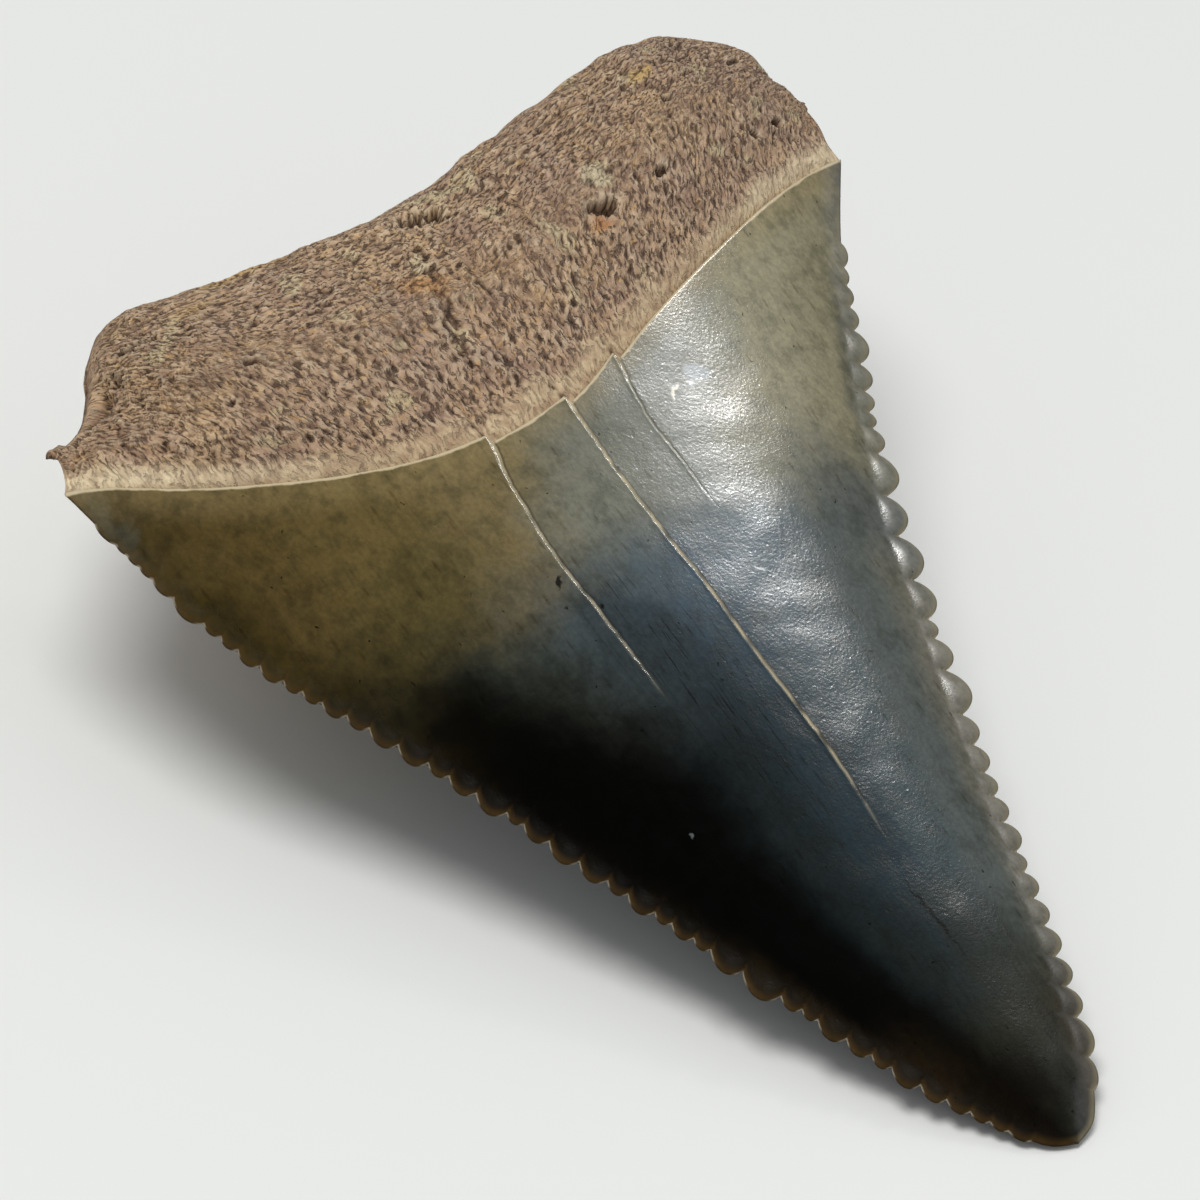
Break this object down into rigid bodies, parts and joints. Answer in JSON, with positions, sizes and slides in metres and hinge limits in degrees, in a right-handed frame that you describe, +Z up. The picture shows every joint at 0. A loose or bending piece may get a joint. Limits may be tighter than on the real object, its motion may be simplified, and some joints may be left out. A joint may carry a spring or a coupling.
{
  "type": "fossil shark tooth",
  "caption": "Loose fossil shark tooth: a broad triangular enamel crown with serrated cutting edges on a porous lobed root, lying on its back.",
  "frame": {"origin": "on the ground plane, at the middle of the lying tooth's bounding box", "axes": "+Z up, out of the crown's convex face; +Y from the tip towards the root; +X across, towards the right corner of the enamel seen from above"},
  "size_m": [0.0366, 0.0448, 0.0149],
  "materials": {
    "enamel": "glossy blue-grey and olive fossil enamel, finely pitted",
    "root": "matt brown porous fossil bone"
  },
  "bodies": {
    "root": {"tooth": "enamel"}
  },
  "joints": []
}
